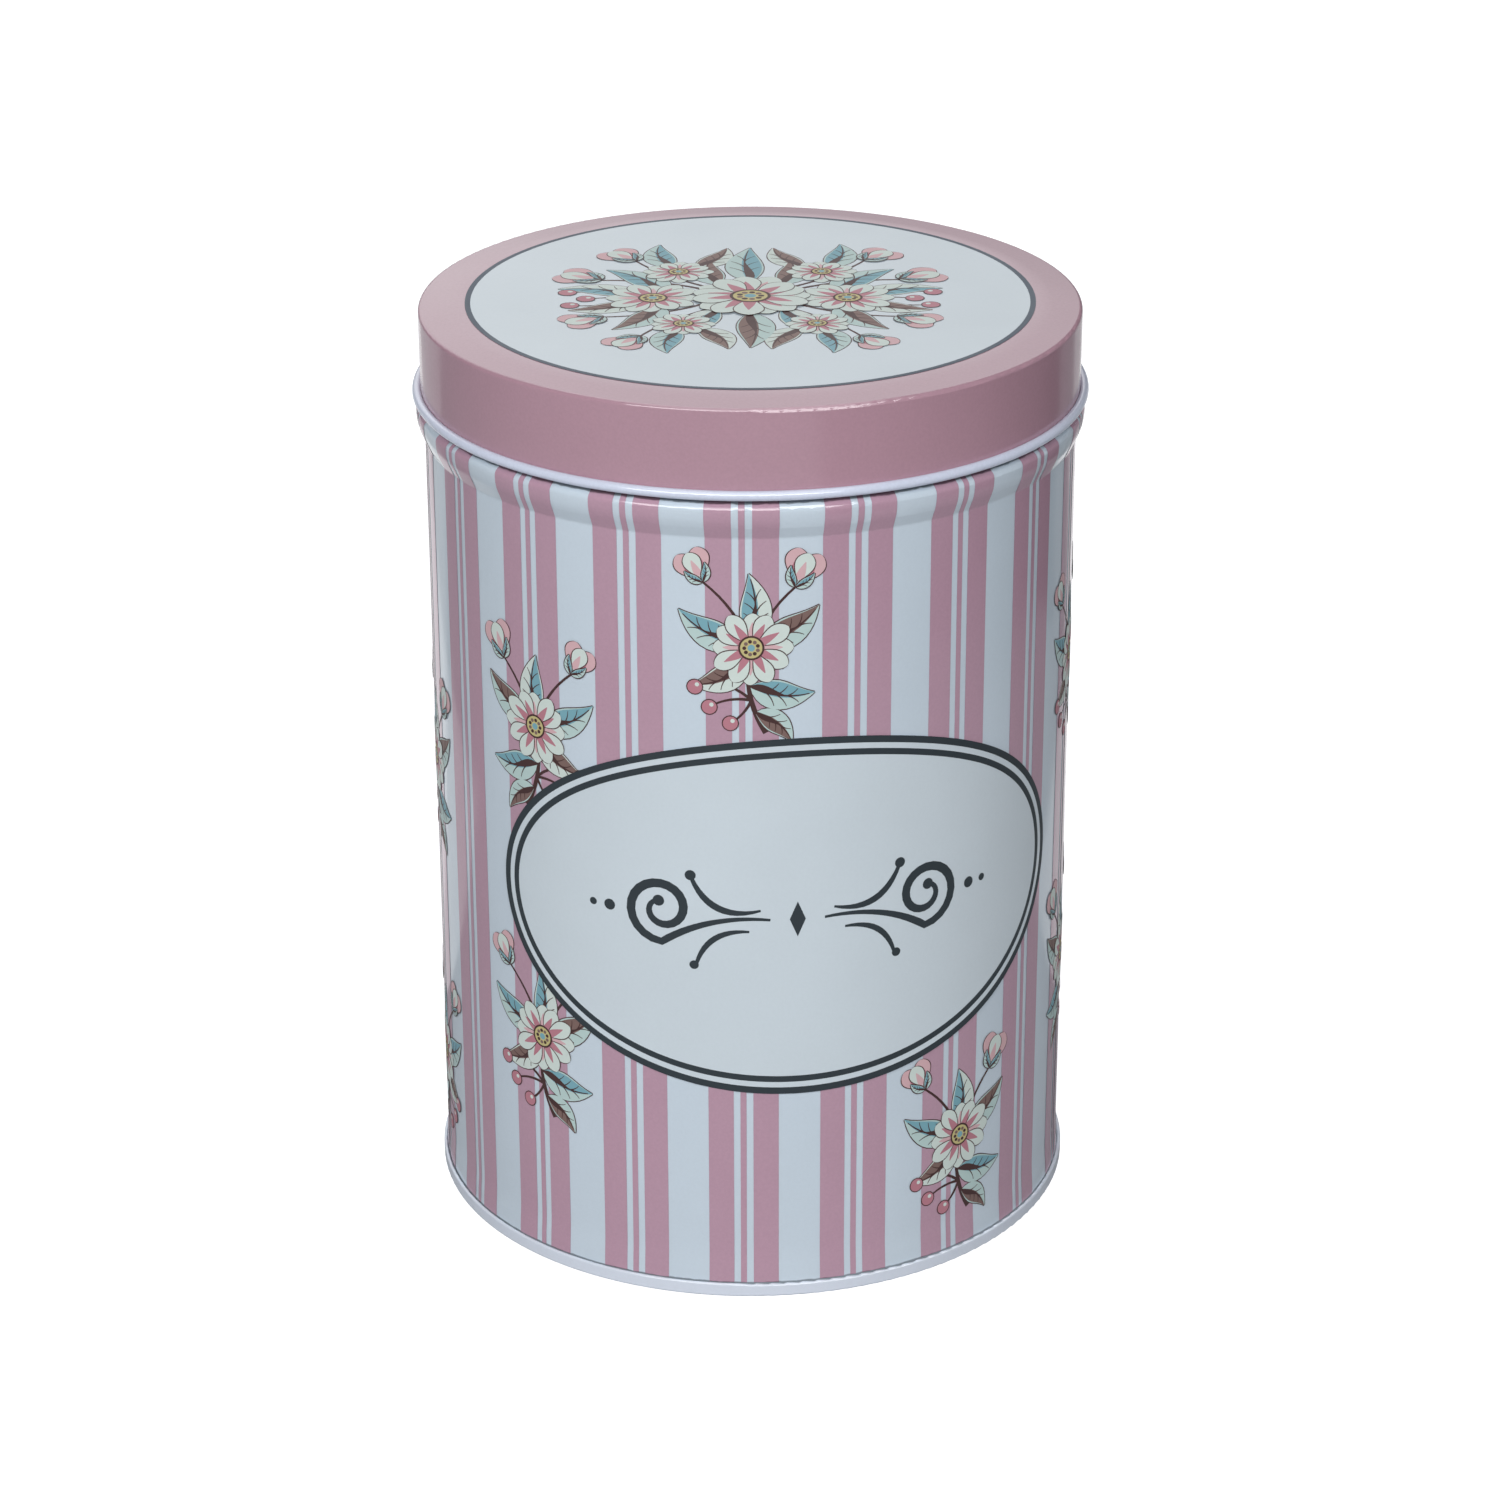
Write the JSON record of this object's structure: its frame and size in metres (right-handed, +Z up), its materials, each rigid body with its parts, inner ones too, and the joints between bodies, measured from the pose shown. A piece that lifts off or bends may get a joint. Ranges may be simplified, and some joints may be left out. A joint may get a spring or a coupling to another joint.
{
  "type": "tea caddy",
  "caption": "Round printed tin canister with a loose slip lid that lifts off, for tea, sugar or other dry food.",
  "frame": {"origin": "centre of the bottom seam ring, on the floor plane", "axes": "+Z up along the canister's axis, -Y towards the front with the label, +Y towards the side seam"},
  "size_m": [0.1076, 0.1076, 0.1511],
  "materials": {
    "printed_wall": "lithographed tinplate, satin varnish, pink and white ticking stripes",
    "coated_bottom": "white coated tinplate",
    "printed_lid": "lithographed tinplate, satin varnish, pink with a pale disc on top"
  },
  "bodies": {
    "tin": {"body_shell": "printed_wall", "bottom_end": "coated_bottom"},
    "lid": {"lid": "printed_lid"}
  },
  "joints": [
    {"name": "lid_lift", "type": "slide", "parent": "tin", "child": "lid", "axis": [0, 0, 1], "range_m": [0, 0.06]}
  ]
}
